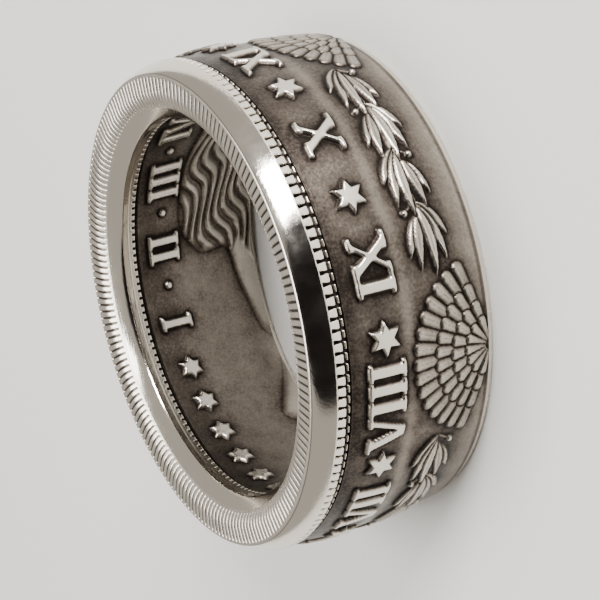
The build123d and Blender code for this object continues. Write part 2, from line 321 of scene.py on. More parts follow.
def round_the_band(name, mesh, material, count):
    """Repeat one sector round the ring's axis with Geometry Nodes, as a plain mesh of the whole ring."""
    tree = bpy.data.node_groups.new(name, "GeometryNodeTree")
    tree.interface.new_socket("Sector", in_out="INPUT", socket_type="NodeSocketGeometry")
    count_input = tree.interface.new_socket("Count", in_out="INPUT", socket_type="NodeSocketInt")
    tree.interface.new_socket("Ring", in_out="OUTPUT", socket_type="NodeSocketGeometry")
    nodes, links = tree.nodes, tree.links
    given = nodes.new("NodeGroupInput")
    result = nodes.new("NodeGroupOutput")
    line = nodes.new("GeometryNodeMeshLine")
    line.inputs["Offset"].default_value = (0.0, 0.0, 0.0)
    index = nodes.new("GeometryNodeInputIndex")
    step = nodes.new("ShaderNodeMath")
    step.operation = "DIVIDE"
    step.inputs[0].default_value = 2 * math.pi
    turn = nodes.new("ShaderNodeMath")
    turn.operation = "MULTIPLY"
    rotation = nodes.new("ShaderNodeCombineXYZ")
    repeat = nodes.new("GeometryNodeInstanceOnPoints")
    realize = nodes.new("GeometryNodeRealizeInstances")
    weld = nodes.new("GeometryNodeMergeByDistance")
    weld.inputs["Distance"].default_value = 0.0005 * MM
    paint = nodes.new("GeometryNodeSetMaterial")
    paint.inputs["Material"].default_value = material
    links.new(given.outputs["Count"], line.inputs["Count"])
    links.new(given.outputs["Count"], step.inputs[1])
    links.new(index.outputs["Index"], turn.inputs[0])
    links.new(step.outputs["Value"], turn.inputs[1])
    links.new(turn.outputs["Value"], rotation.inputs["Z"])
    links.new(line.outputs["Mesh"], repeat.inputs["Points"])
    links.new(given.outputs["Sector"], repeat.inputs["Instance"])
    links.new(rotation.outputs["Vector"], repeat.inputs["Rotation"])
    links.new(repeat.outputs["Instances"], realize.inputs["Geometry"])
    links.new(realize.outputs["Geometry"], weld.inputs["Geometry"])
    links.new(weld.outputs["Geometry"], paint.inputs["Geometry"])
    links.new(paint.outputs["Geometry"], result.inputs["Ring"])
    maker = bpy.data.objects.new(name + "_maker", mesh)
    bpy.context.scene.collection.objects.link(maker)
    modifier = maker.modifiers.new(name, "NODES")
    modifier.node_group = tree
    modifier[count_input.identifier] = count
    ring = bpy.data.meshes.new_from_object(maker.evaluated_get(bpy.context.evaluated_depsgraph_get()))
    maker.modifiers.remove(modifier)
    bpy.data.objects.remove(maker)
    ring.name = name
    return ring


face_section = np.concatenate([
    [(radius, float(face_depth(radius))) for radius in face_radii],
    bend((face_bend_radius, 0.0), (face_outer_radius + 0.01, 0.0), bevel_start, 4),
    [bevel_start, (face_outer_radius - overlap, 0.3), (face_turn_radius, 0.5)],
    [(face_rim_radius + overlap, face_rim_depth + 0.25)],
])
bevel_row = len(face_section) - 4
across_reed = np.abs(reed_shares)
along_reed = face_section[:, 0]
groove_along = ramp(along_reed, *groove_inner_end) * (1 - ramp(along_reed, *groove_outer_end))
groove_along *= groove_shallow_share + (1 - groove_shallow_share) * ramp(along_reed, *groove_shallow_run)
groove_along[bevel_row + 1:] = 0
groove = groove_along[:, None] * (1 - ramp(across_reed, *groove_edge_shares))
crown_fall = reed_crown_height * groove_along[:, None] * (1 - ramp(across_reed, reed_crown_share, 0.5))
face_radius = np.repeat(face_section[:, :1], len(reed_shares), axis=1)
face_low = face_section[:, 1:] + reed_groove_depth * groove + crown_fall
face_tarnish = np.clip(1.1 * groove - 0.25, 0, groove_tarnish) + face_tarnish_level
face_tarnish[bevel_row] = seam_tarnish
reed_silver = coin_silver("reed_silver", polish=0.27, grain=0.12, scratches=0.3)
reed_sector = turned_mesh("reed_sector", face_radius, face_low, face_tarnish, [0, bevel_row],
                          reed_shares * 2 * math.pi / reed_count)
add_piece("reeded_face", round_the_band("reeded_face", reed_sector, reed_silver, reed_count), reed_silver)


# The denticles. Both faces of the coin carry 150 short teeth struck along the rim. They are one
# with the buffed rim, parted by narrow dark slots, and a fine bead runs between them and the field.
struck_silver = coin_silver("struck_silver", polish=0.17, grain=0.2, scratches=0.2)
denticle_count = 150
tooth_shares = np.array((-0.5, -0.3, -0.2, -0.145, -0.105, -0.06, 0.06, 0.105, 0.145, 0.2, 0.3, 0.5))
slot_tarnish = 0.95
hidden_tarnish = 0.8


def hump(value, middle, width):
    """A smooth rise to one at the middle, which falls away over the width."""
    return np.exp(-((value - middle) / width) ** 2)


def add_denticles(name, depths, radius, tarnish, back):
    """A toothed rim from one sector: its struck front, closed behind inside the metal."""
    columns = len(tooth_shares)
    back = np.repeat(np.reshape(back, (-1, 2, 1)), columns, axis=2)
    radius = np.concatenate([radius, back[:, 0]])
    depth = np.concatenate([np.repeat(depths[:, None], columns, axis=1), back[:, 1]])
    stain = np.concatenate([tarnish, np.full(back[:, 1].shape, hidden_tarnish)])
    sector = turned_mesh(name + "_sector", radius, depth, stain, [0, len(depths) - 1, -1],
                         tooth_shares * 2 * math.pi / denticle_count)
    add_piece(name, round_the_band(name, sector, struck_silver, denticle_count), struck_silver)


crest_rise = 0.04
crest_run = 0.12
tooth_end_depth = 1.76
bead_depth = 1.97
bead_height = 0.14
bead_width = 0.052
slot_start_depth = 1.22
slot_start_half = 0.18
slot_narrowing = 0.08
slot_widening = 0.06
slot_edge = 0.035
slot_floor_drop = 0.02
valley_height = 0.1
outer_tooth_depths = np.array([
    outer_bevel_depth, outer_bevel_depth + 0.01, 1.18, 1.21, 1.24, 1.27, 1.31, 1.38, 1.46, 1.54, 1.61, 1.66,
    1.70, 1.73, 1.76, 1.80, 1.84, 1.88, 1.92, 1.95, 1.99, 2.03, 2.07, 2.11, outer_field_depth + 0.03])
crest = bevel_end[0] + crest_rise * (1 - np.exp((outer_bevel_depth - outer_tooth_depths) / crest_run))
tooth_fall = ramp(outer_tooth_depths, tooth_end_depth - 0.09, tooth_end_depth + 0.03)
bead = bead_height * hump(outer_tooth_depths, bead_depth, bead_width)
outer_tooth_top = crest + (outer_floor_radius - crest) * tooth_fall + bead
slot_open = ramp(outer_tooth_depths, slot_start_depth, slot_start_depth + 0.06)
slot_middle_depth = tooth_end_depth - 0.15
narrowed = ramp(outer_tooth_depths, slot_start_depth + 0.05, slot_middle_depth)
widened = ramp(outer_tooth_depths, slot_middle_depth, tooth_end_depth)
slot_half = (slot_start_half - slot_narrowing * narrowed + slot_widening * widened)[:, None]
slot = slot_open[:, None] * (1 - ramp(np.abs(tooth_shares), slot_half - slot_edge, slot_half + slot_edge))
slot_depth = outer_tooth_top[:, None] - outer_floor_radius + slot_floor_drop
valley = np.clip((outer_floor_radius + valley_height - outer_tooth_top) / valley_height, 0, 1)
outer_tooth_tarnish = np.maximum(np.clip(1.3 * slot - 0.15, 0, slot_tarnish), slot_tarnish * valley[:, None])
add_denticles("outer_denticles", outer_tooth_depths, outer_tooth_top[:, None] - slot_depth * slot,
              outer_tooth_tarnish, [(core_radius + 0.6, outer_field_depth + 0.06),
                                    (core_radius + 0.5, outer_bevel_depth + overlap)])

inner_crest_step = 0.035
inner_tooth_end = (1.93, 2.1)
inner_slot_start = (1.74, 1.82)
inner_slot_edge = (0.1, 0.17)
inner_slot_depth = 0.12
inner_slot_tarnish = 0.85
line_width = 0.03
line_tarnish = 0.35
tooth_tarnish = 0.04
inner_tooth_depths = np.array([
    inner_land_depth, inner_land_depth + 0.01, 1.48, 1.52, 1.6, 1.68, 1.72, 1.75, 1.78, 1.82, 1.88, 1.94,
    1.98, 2.01, 2.04, 2.07, 2.1, 2.14, 2.2, inner_field_depth + 0.03])
inner_step = ramp(inner_tooth_depths, inner_land_depth, inner_land_depth + 0.06)
inner_crest = finger_radius + inner_crest_step * inner_step
inner_fall = ramp(inner_tooth_depths, *inner_tooth_end)
inner_tooth_top = inner_crest + (inner_floor_radius + 0.06 - inner_crest) * inner_fall
inner_fall = inner_fall[:, None]
inner_slot_open = ramp(inner_tooth_depths, *inner_slot_start)[:, None]
inner_slot = inner_slot_open * (1 - ramp(np.abs(tooth_shares), *inner_slot_edge))
inner_tooth_tarnish = np.maximum(inner_slot_tarnish * inner_slot, slot_tarnish * inner_fall)
line = hump(inner_tooth_depths, inner_land_depth + line_width, line_width)
inner_tooth_tarnish = np.maximum(inner_tooth_tarnish, line_tarnish * line[:, None]) + tooth_tarnish
add_denticles("inner_denticles", inner_tooth_depths,
              inner_tooth_top[:, None] + inner_slot_depth * inner_slot * (1 - inner_fall),
              inner_tooth_tarnish, [(core_radius - 0.6, inner_field_depth + 0.06),
                                    (core_radius - 0.6, inner_land_depth + overlap)])


# The outer field with its numerals and stars. It is the coin's flat ground, bent to a shallow
# belly, and the characters stand up from it with crisp flat tops that wear keeps bright.
field_silver = coin_silver("field_silver", polish=0.22, grain=0.5, scratches=0.2)
relief_height = 0.22
numeral_top_depth = 3.0
numeral_height = 2.05
stem_width = 0.5
hairline_width = 0.26
serif_reach = 0.2
serif_height = 0.18
bracket = 0.05
stroke_pitch = 0.98
wide_letter_pitch = 2.0
wide_letter_spread = 1.48
letter_reach = 1.45
star_radius = 0.9
star_waist_share = 0.52
star_reach = 1.1
edge_slope = 0.095
crown_share = 0.03
crown_run = 0.25
pressed_share = 0.2
gap_edge = 0.05
rubbed_tarnish = 0.05
foot_shadow_size = 0.14
wide_shadow_size = 0.5
hollow_size = 0.09
hollow_tarnish = 6.0
back_tarnish = 0.3
numerals = ("XII", "I", "II", "III", "IV", "V", "VI", "VII", "VIII", "IX", "X", "XI")


def relief_grid(wall, out, columns, depths):
    """Empty ground for pressed forms on a wall, which rise outwards with out at 1 and inwards at -1."""
    height = np.zeros((len(depths), columns))
    return {"wall": wall, "out": out, "columns": columns, "depths": depths, "height": height}


def press(grid, angle, depth, reach, form, gap=None):
    """Raise a form on the ground.

    The form gives the distance to its outline and its height at x round the band and y up the wall.
    What lies under it is pressed down within a gap round its outline.
    """
    rows = np.flatnonzero(np.abs(grid["depths"] - depth) < reach)
    step = 2 * math.pi / grid["columns"]
    radius = float(grid["wall"](depth))
    middle = round(math.radians(angle) / step)
    half = int(reach / (radius * step)) + 1
    columns = np.arange(middle - half, middle + half + 1)
    x = grid["out"] * (columns * step - math.radians(angle)) * radius
    y = depth - grid["depths"][rows]
    window = np.ix_(rows, columns % grid["columns"])
    outside, height = form(x[None, :], y[:, None])
    under = grid["height"][window]
    if gap is not None:
        clear = ramp(outside, gap - gap_edge, gap + gap_edge)
        under = under * (pressed_share + (1 - pressed_share) * clear)
    grid["height"][window] = np.maximum(under, height)


def flat_top(distance, height, slope):
    """A form with a slightly domed top and a short rounded slope at its outline."""
    share = np.clip(0.5 - distance / slope, 0, 1)
    side = np.sin(share * math.pi / 2) ** 0.9
    dome = np.clip(-distance / crown_run, 0, 1)
    return distance, height * (side * (1 - crown_share) + crown_share * dome)


def stroke_distance(x, y, lower, upper, width):
    """Distance to a stroke of a numeral from its foot line to its head line."""
    half = numeral_height / 2
    middle = lower + (upper - lower) * (y + half) / numeral_height
    slant = numeral_height / math.hypot(numeral_height, upper - lower)
    return np.maximum((np.abs(x - middle) - width / 2) * slant, np.abs(y) - half)


def serif_distance(x, y, place, side, width):
    """Distance to the short bar that ends a stroke."""
    middle = side * (numeral_height - serif_height) / 2
    return np.maximum(np.abs(x - place) - width / 2 - serif_reach, np.abs(y - middle) - serif_height / 2)


def soft_union(distances):
    """Join distances with a small fillet where the parts of a letter meet."""
    return -bracket * np.log(sum(np.exp(-distance / bracket) for distance in distances))


def letter_distance(letter, x, y):
    """Distance to one numeral letter, centred."""
    arm = wide_letter_spread / 2
    foot = (stem_width - hairline_width) / 4
    if letter == "I":
        strokes = [(0, 0, stem_width)]
        serifs = [(0, 1, stem_width), (0, -1, stem_width)]
    elif letter == "V":
        strokes = [(-foot, -arm, stem_width), (foot, arm, hairline_width)]
        serifs = [(-arm, 1, stem_width), (arm, 1, hairline_width)]
    else:
        strokes = [(arm, -arm, stem_width), (-arm, arm, hairline_width)]
        serifs = [(-arm, 1, stem_width), (arm, 1, hairline_width),
                  (arm, -1, stem_width), (-arm, -1, hairline_width)]
    parts = [stroke_distance(x, y, *stroke) for stroke in strokes]
    return soft_union(parts + [serif_distance(x, y, *serif) for serif in serifs])


def press_numeral(grid, centre, text, top_depth, height):
    """Press one numeral, letter by letter, centred on its angle."""
    depth = top_depth + numeral_height / 2
    radius = float(grid["wall"](depth))
    widths = [stroke_pitch if letter == "I" else wide_letter_pitch for letter in text]
    place = -sum(widths) / 2
    for letter, width in zip(text, widths):
        angle = centre + grid["out"] * math.degrees((place + width / 2) / radius)
        place += width
        press(grid, angle, depth, letter_reach,
              lambda x, y: flat_top(letter_distance(letter, x, y), height, edge_slope))


def star_distance(x, y, radius, waist_share):
    """Distance to the outline of a six-pointed star."""
    fold = math.pi / 6
    turn = np.abs((np.arctan2(y, x) + fold) % (2 * fold) - fold)
    reach = np.hypot(x, y)
    along, across = reach * np.cos(turn), reach * np.sin(turn)
    notch = radius * waist_share
    side_x, side_y = notch * math.cos(fold) - radius, notch * math.sin(fold)
    return (side_y * (along - radius) - side_x * across) / math.hypot(side_x, side_y)


def spread(values, size, grid_step):
    """Blur a grid by a distance in millimetres, along its depth and round the ring."""
    for axis, edge_mode in enumerate(("edge", "wrap")):
        sigma = size / grid_step[axis]
        reach = max(1, int(2.5 * sigma))
        weights = np.exp(-0.5 * (np.arange(-reach, reach + 1) / sigma) ** 2)
        weights /= weights.sum()
        pads = [(0, 0), (0, 0)]
        pads[axis] = (reach, reach)
        padded = np.pad(values, pads, mode=edge_mode)
        count = values.shape[axis]
        values = sum(weight * np.take(padded, np.arange(i, i + count), axis=axis)
                     for i, weight in enumerate(weights))
    return values


def field_tarnish(grid, radius, top_height, ground, near, far):
    """Tarnish left in the ground, darkest at the foot of the relief and rubbed off its tops; on the outer
    field the given ground also holds painted shade along the rim.
    """
    height = grid["height"]
    cover = np.clip(height / top_height, 0, 1)
    steps = (float(np.mean(np.abs(np.diff(grid["depths"])))), 2 * math.pi * radius / grid["columns"])
    shadow = near * spread(cover, foot_shadow_size, steps) + far * spread(cover, wide_shadow_size, steps)
    hollow = np.clip(spread(height, hollow_size, steps) - height, 0, None)
    left = (1 - cover**0.6) * np.clip(ground[:, None] + shadow, 0, 1)
    return rubbed_tarnish * cover + left + hollow_tarnish * hollow


def add_shell(name, grid, part, tarnish, material, lead, tail):
    """Closed shell from some rows of a grid: the pressed ground in front, the middle of the wall behind."""
    depths, columns = grid["depths"][part], grid["columns"]
    before, after = (np.repeat(np.reshape(places, (-1, 2, 1)), columns, axis=2) for places in (lead, tail))
    front_radius = grid["wall"](depths)[:, None] + grid["out"] * grid["height"][part]
    front_depth = np.repeat(depths[:, None], columns, axis=1)
    radius = np.concatenate([before[:, 0], front_radius, after[:, 0]])
    depth = np.concatenate([before[:, 1], front_depth, after[:, 1]])
    lead_stain = np.full((len(lead), columns), hidden_tarnish)
    tail_stain = np.full((len(tail), columns), back_tarnish)
    stain = np.concatenate([lead_stain, tarnish[part], tail_stain])
    seams = [0 if not lead else 1, len(lead) + len(depths) - 1, -2, -1]
    add_piece(name, turned_mesh(name, radius, depth, stain, seams), material)


edge_depth = 10.42
seam_depth = 5.45
seam_overlap = 0.02
seam_row = 60
rows_below_seam = 74
outer_columns = 1300
outer_depths = np.concatenate([np.linspace(outer_field_depth, seam_depth, seam_row, endpoint=False),
                               np.linspace(seam_depth, edge_depth, rows_below_seam)])
outer_grid = relief_grid(outer_wall, 1, outer_columns, outer_depths)
numeral_pitch = 360 / len(numerals)
numeral_middle = numeral_top_depth + numeral_height / 2
for i, text in enumerate(numerals):
    press_numeral(outer_grid, i * numeral_pitch, text, numeral_top_depth, relief_height)
    press(outer_grid, (i + 0.5) * numeral_pitch, numeral_middle, star_reach,
          lambda x, y: flat_top(star_distance(x, y, star_radius, star_waist_share),
                                relief_height, edge_slope))


# The lower outer field with its leaf sprays and fans, down to the cut edge. They are struck in the
# same silver: each spray is a row of leaf clusters and berries on one stem, each fan tiers of ribs.
spray_depth = 7.45
spray_span = 52.0
spray_first_angle = 22.5
motif_pairs = 4
leaf_clusters = 4
leaf_length = 3.5
leaf_width = 0.54
leaf_stagger = 0.14
leaf_arch = 0.04
leaf_reach = 1.05 * leaf_length
leaf_gap = 0.075
leaf_low_share = 0.8
leaf_height_step = 0.07
vein_crease = 0.16
vein_width = 0.055
twig_width = 0.2
twig_height = 0.17
twig_reach = 2.2
twig_gap = 0.02
berry_radius = 0.2
berry_reach = 0.95
berry_angle = 58.0
berry_window = 1.4
stalk_half_width = 0.045
stalk_height = 0.1
cluster_leaves = ((-35.0, 0.66), (28.0, 0.7), (-18.0, 0.9), (12.0, 0.88), (-3.0, 1.0))
leaf_feet = (0, 4, 1, 3, 2)
fan_foot_margin = 0.35
fan_spread = 140.0
fan_reach = 5.1
fan_gap = 0.05
fan_tiers = ((15, 2.9, 4.9, 0.8), (12, 2.0, 3.6, 0.87), (9, 1.2, 2.6, 0.94), (7, 0.3, 1.7, 1.0))
rib_half_share = 0.46
shaft_depth = 0.14
shaft_width = 0.035
barb_depth = 0.07
barb_pitch = 0.27


def turned_axes(x, y, turn):
    """Distances along and across a direction."""
    cosine, sine = math.cos(math.radians(turn)), math.sin(math.radians(turn))
    return x * cosine + y * sine, y * cosine - x * sine


def leaf_form(turn, length, height, arch):
    """A slender arched leaf from its foot at the origin, with two facets and a creased vein between."""
    def form(x, y):
        along, across = turned_axes(x, y, turn)
        share = np.clip(along / length, 0, 1)
        across = across - 4 * arch * length * share * (1 - share)
        half = leaf_width / 2 * np.sin(math.pi * share ** 0.87) ** 0.85
        outside = np.maximum(np.abs(across) - half, np.maximum(-along, along - length))
        facet = np.clip(0.5 - across / np.maximum(2 * half, 0.02), 0, 1)
        edge = np.clip(0.5 - outside / edge_slope, 0, 1)
        crease = vein_crease * hump(across, 0, vein_width) * np.clip((0.8 - share) / 0.15, 0, 1)
        return outside, height * edge * (0.86 + 0.14 * facet - crease)
    return form


def berry_form(turn):
    """A round berry on a short stalk from the stem."""
    def form(x, y):
        along, across = turned_axes(x, y, turn)
        reach = np.hypot(along - berry_reach, across)
        stalk = np.maximum(np.abs(across) - stalk_half_width, np.maximum(-along, along - berry_reach))
        dome = relief_height * np.sqrt(np.clip(1 - (reach / berry_radius) ** 2, 0, 1))
        stalk_top = stalk_height * np.clip(0.5 - stalk / 0.06, 0, 1)
        return np.minimum(reach - berry_radius, stalk), np.maximum(dome, stalk_top)
    return form


def twig_form(length):
    """A length of round stem that lies along the band."""
    def form(x, y):
        outside = np.maximum(np.abs(y) - twig_width / 2, np.abs(x) - length / 2)
        round_top = np.sqrt(np.clip(1 - (2 * y / twig_width) ** 2, 0, 1))
        return outside, twig_height * round_top * (np.abs(x) < length / 2)
    return form


def fan_form(ribs, first, last, height):
    """One tier of ribs that spread from the fan's foot, with rounded ends and fine slanting barbs."""
    def form(x, y):
        reach, turn = np.hypot(x, y), np.degrees(np.arctan2(y, x)) - 90
        pitch = fan_spread / (ribs - 1)
        nearest = np.round(turn / pitch + (ribs - 1) / 2)
        nearest = np.clip(nearest, 0, ribs - 1) - (ribs - 1) / 2
        aside = np.radians(turn - nearest * pitch)
        along, across = reach * np.cos(aside), reach * np.sin(aside)
        half = rib_half_share * math.radians(pitch) * np.minimum(along, last - 0.1)
        past = np.clip(along - last + half, 0, None)
        outside = np.where(past > 0, np.hypot(past, across) - half, np.abs(across) - half)
        outside = np.maximum(outside, first - along)
        share = np.clip(-outside / np.maximum(half, 0.01), 0, 1)
        shaft = shaft_depth * hump(across, 0, shaft_width)
        barbs = barb_depth * (0.5 + 0.5 * np.sin(2 * math.pi * (along - np.abs(across)) / barb_pitch))
        tilt = 0.66 + 0.34 * np.clip((along - first) / (last - first), 0, 1)
        return outside, height * tilt * np.sqrt(share * (2 - share)) * (1 - shaft - barbs)
    return form


spray_radius = float(outer_wall(spray_depth))
stem_length = math.radians(spray_span) * spray_radius - leaf_length
node_pitch = stem_length / (leaf_clusters - 1)
for pair in range(motif_pairs):
    spray_angle = spray_first_angle + 360 / motif_pairs * pair
    for cluster in reversed(range(leaf_clusters)):
        side = 1 if cluster % 2 == 0 else -1
        node = (stem_length + leaf_length) / 2 - cluster * node_pitch
        node_angle = spray_angle + math.degrees(node / spray_radius)
        if cluster < leaf_clusters - 1:
            twig_angle = node_angle - math.degrees(node_pitch / 2 / spray_radius)
            press(outer_grid, twig_angle, spray_depth, twig_reach, twig_form(node_pitch), twig_gap)
        berry = berry_form(180 + side * berry_angle)
        press(outer_grid, node_angle, spray_depth, berry_window, berry, leaf_gap)
        for foot, (turn, share) in zip(leaf_feet, cluster_leaves):
            height = relief_height * (leaf_low_share + leaf_height_step * (foot % 3))
            foot_angle = node_angle - math.degrees(leaf_stagger * foot / spray_radius)
            arch = side * math.copysign(leaf_arch, turn)
            form = leaf_form(180 + side * turn, leaf_length * share, height, arch)
            press(outer_grid, foot_angle, spray_depth, leaf_reach, form, leaf_gap)
    fan_angle = spray_angle + 180 / motif_pairs
    for ribs, first, last, share in fan_tiers:
        form = fan_form(ribs, first, last, share * relief_height)
        press(outer_grid, fan_angle, band_width - fan_foot_margin, fan_reach, form, fan_gap)

ground_tarnish = 0.56
belly_rub = 0.16
belly_rub_depth = 5.5
belly_rub_width = 0.4
edge_rub = 0.3
edge_rub_start = 8.6
edge_rub_run = 1.6
# Darkening of the ground along the foot of the rim: partly patina, partly painted shade.
rim_patina_and_painted_shade = 0.2
rim_patina_and_shade_width = 0.6
# A thin darker line runs round the wall just above the cut edge.
edge_dark_line = 0.3
edge_line_depth = 10.28
edge_line_width = 0.1
outer_ground = ground_tarnish - belly_rub * hump(outer_depths, belly_rub_depth, belly_rub_width)
outer_ground = outer_ground - edge_rub * np.clip((outer_depths - edge_rub_start) / edge_rub_run, 0, 1)
# Painted shade: the ground at the foot of the rim is darkened, partly patina that gathers there and partly
# painted shade.
outer_ground = outer_ground + rim_patina_and_painted_shade * hump(outer_depths, outer_field_depth, rim_patina_and_shade_width)
outer_ground = outer_ground + edge_dark_line * hump(outer_depths, edge_line_depth, edge_line_width)
outer_tarnish_and_painted_shade = field_tarnish(outer_grid, belly_radius, relief_height, outer_ground, near=1.5, far=0.8)
add_shell("outer_upper_field", outer_grid, slice(0, seam_row + 1), outer_tarnish_and_painted_shade, field_silver,
          [(core_radius, outer_field_depth - 0.04), (outer_floor_radius - 0.02, outer_field_depth - 0.05),
           (outer_field_radius - 0.03, outer_field_depth - 0.035),
           (outer_field_radius + 0.01, outer_field_depth - 0.02)],
          [(core_radius, seam_depth)])
add_shell("outer_lower_field", outer_grid, slice(seam_row, None), outer_tarnish_and_painted_shade, field_silver,
          [], [(core_radius + 0.4, edge_depth), (core_radius, seam_depth + seam_overlap)])


# The inner field with small numerals, dots and stars. It was the coin's other face, so it is
# struck in the same way, and its recesses keep the most tarnish because nothing rubs them.
inner_silver = coin_silver("inner_silver", polish=0.25, grain=0.5, scratches=0.2)
inner_relief_height = 0.2
inner_numeral_top_depth = 3.05
inner_numeral_first_angle = 92.0
inner_numeral_pitch = 24.0
inner_dot_radius = 0.22
inner_dot_reach = 0.4
inner_star_count = 13
inner_star_first_angle = 107.0
inner_star_pitch = 12.0
inner_star_radius = 0.7
inner_star_waist_share = 0.66
inner_star_slope = 0.2
inner_star_reach = 0.8
inner_seam_depth = 5.2
inner_seam_row = 45
inner_rows_below_seam = 80
inner_columns = 960
inner_numerals = ("I", "II", "III", "IV", "V", "VI")
inner_depths = np.concatenate([
    np.linspace(inner_field_depth, inner_seam_depth, inner_seam_row, endpoint=False),
    np.linspace(inner_seam_depth, edge_depth, inner_rows_below_seam)])
inner_grid = relief_grid(inner_wall, -1, inner_columns, inner_depths)
inner_middle = inner_numeral_top_depth + numeral_height / 2
for i, text in enumerate(inner_numerals):
    angle = inner_numeral_first_angle - inner_numeral_pitch * i
    press_numeral(inner_grid, angle, text, inner_numeral_top_depth, inner_relief_height)
    press(inner_grid, angle - inner_numeral_pitch / 2, inner_middle, inner_dot_reach,
          lambda x, y: flat_top(np.hypot(x, y) - inner_dot_radius, inner_relief_height, edge_slope))
for i in range(inner_star_count):
    press(inner_grid, inner_star_first_angle + inner_star_pitch * i, inner_middle, inner_star_reach,
          lambda x, y: flat_top(star_distance(x, y, inner_star_radius, inner_star_waist_share),
                                inner_relief_height, inner_star_slope))


# The head inside the band. It was struck in profile on the coin's face, and the punched hole took
# its middle, so that hair, brow and neck now run down to the cut edge. The face is a plain one.
blank_radius = 19.05
blank_hole_radius = 7.94
fold_power = 0.75
head_height = 22.0
head_facing_angle = 118.0
head_slope = 0.35
head_relief = 0.17
outline_steps = 5
hair_start_angle = 42.0
hair_start_swing = 4.0
hair_start_waves = 2.1
hair_start_softness = 3.0
nape_angle = 232.0
nape_softness = 6.0
hair_bed = 0.09
hair_stain = 0.16
lock_pitch = 0.82
lock_height = 0.17
strand_height = 0.03
strands_per_lock = 3
sweep_height = 0.7
sweep_count = 3.0
sweep_start = 0.4
curl_height = 0.5
curl_count = 13.0
curl_lean = 0.9
head_outline = (
    (-0.62, 0.05), (-0.56, 0.30), (-0.38, 0.50), (-0.14, 0.61), (0.08, 0.65), (0.26, 0.62), (0.39, 0.54),
    (0.42, 0.43), (0.35, 0.355), (0.385, 0.27), (0.40, 0.14), (0.372, 0.07), (0.485, -0.09), (0.41, -0.135),
    (0.437, -0.18), (0.412, -0.205), (0.427, -0.24), (0.395, -0.28), (0.42, -0.345), (0.36, -0.41),
    (0.24, -0.45), (0.17, -0.62), (-0.05, -0.70), (-0.30, -0.62),
)


def smooth_loop(points, steps):
    """Closed smooth curve through a few points."""
    share = (np.arange(steps) / steps)[None, :, None]
    before, here, after, beyond = (np.roll(points, shift, axis=0)[:, None, :] for shift in (1, 0, -1, -2))
    slope = after - before
    turn = 2 * before - 5 * here + 4 * after - beyond
    twist = 3 * here - before - 3 * after + beyond
    return (0.5 * (2 * here + slope * share + turn * share**2 + twist * share**3)).reshape(-1, 2)


def loop_distance(x, y, loop):
    """Signed distance to a closed curve, negative inside."""
    nearest = np.full(x.shape, np.inf)
    inside = np.zeros(x.shape, dtype=bool)
    for (ax, ay), (bx, by) in zip(loop, np.roll(loop, -1, axis=0)):
        run, rise = bx - ax, by - ay
        share = np.clip(((x - ax) * run + (y - ay) * rise) / (run**2 + rise**2), 0, 1)
        nearest = np.minimum(nearest, np.hypot(x - ax - share * run, y - ay - share * rise))
        inside ^= ((ay > y) != (by > y)) & (x < run * (y - ay) / (rise + 1e-12) + ax)
    return np.where(inside, -nearest, nearest)


depth_share = inner_depths / band_width
coin_reach = blank_radius - (blank_radius - blank_hole_radius) * depth_share ** (1 / fold_power)
coin_reach = coin_reach[:, None]
heading = math.radians(head_facing_angle) - np.arange(inner_columns) * 2 * math.pi / inner_columns
forward = coin_reach * np.cos(heading)
upward = coin_reach * np.sin(heading)
head_rows = inner_depths > inner_seam_depth - 0.3
outside_head = np.full(forward.shape, 5.0)
outside_head[head_rows] = loop_distance(forward[head_rows], upward[head_rows],
                                        smooth_loop(head_outline, outline_steps) * head_height)
head_cover = 1 - np.exp(-np.clip(-outside_head, 0, None) / head_slope)
wave = sweep_height * np.sin(sweep_count * heading + sweep_start)
wave = wave + curl_height * np.sin(curl_count * heading + curl_lean * coin_reach)
flow = (coin_reach + wave) / lock_pitch
lock_ridge = np.sin(math.pi * flow) ** 2
strand_ridge = np.abs(np.sin(math.pi * strands_per_lock * flow + 2.0 * np.sin(2.0 * flow)))
turn_degrees = np.degrees(heading) % 360
hairline = hair_start_angle + hair_start_swing * np.sin(coin_reach * hair_start_waves)
hair = np.clip((turn_degrees - hairline) / hair_start_softness, 0, 1)
hair = hair * np.clip((nape_angle - turn_degrees) / nape_softness, 0, 1)
strands = hair * (lock_height * lock_ridge + strand_height * strand_ridge - hair_bed)
inner_grid["height"] = np.maximum(inner_grid["height"], head_cover * (head_relief + strands))

inner_ground_tarnish = 0.62
inner_middle_rub = 0.16
inner_middle_run = (2.6, 5.0)
inner_edge_rub = 0.2
inner_edge_run = (9.2, 10.4)
inner_ground = inner_ground_tarnish - inner_middle_rub * ramp(inner_depths, *inner_middle_run)
inner_ground = inner_ground - inner_edge_rub * ramp(inner_depths, *inner_edge_run)
inner_tarnish = field_tarnish(inner_grid, inner_field_radius, inner_relief_height, inner_ground,
                              near=1.1, far=0.7)
inner_tarnish = np.clip(inner_tarnish + hair_stain * hair * head_cover, 0, 1)
add_shell("inner_upper_field", inner_grid, slice(0, inner_seam_row + 1), inner_tarnish, inner_silver,
          [(core_radius, inner_field_depth - 0.05), (inner_floor_radius + 0.02, inner_field_depth - 0.06),
           (inner_floor_radius + 0.02, inner_field_depth - 0.03),
           (inner_field_radius - 0.05, inner_field_depth - 0.02)],
          [(core_radius, inner_seam_depth)])
add_shell("inner_lower_field", inner_grid, slice(inner_seam_row, None), inner_tarnish, inner_silver,
          [], [(core_radius - 0.1, edge_depth), (core_radius, inner_seam_depth + seam_overlap)])


# The cut edge. It was the rim of the punched hole and is now the end of the band that the ring
# lies on: left plain, smoothed over by hand on both sides and polished by wear.
edge_round = 0.34
edge_bulge = 0.01
edge_bend_steps = 9
edge_foot_steps = 4
edge_tarnish = 0.05
edge_columns = 360


def edge_bend(foot_radius, inwards):
    """Rounded corner from the foot of a wall to the flat, towards the axis with inwards at 1."""
    return bend((foot_radius, edge_depth), (foot_radius - inwards * edge_bulge, band_width),
                (foot_radius - inwards * edge_round, band_width), edge_bend_steps)


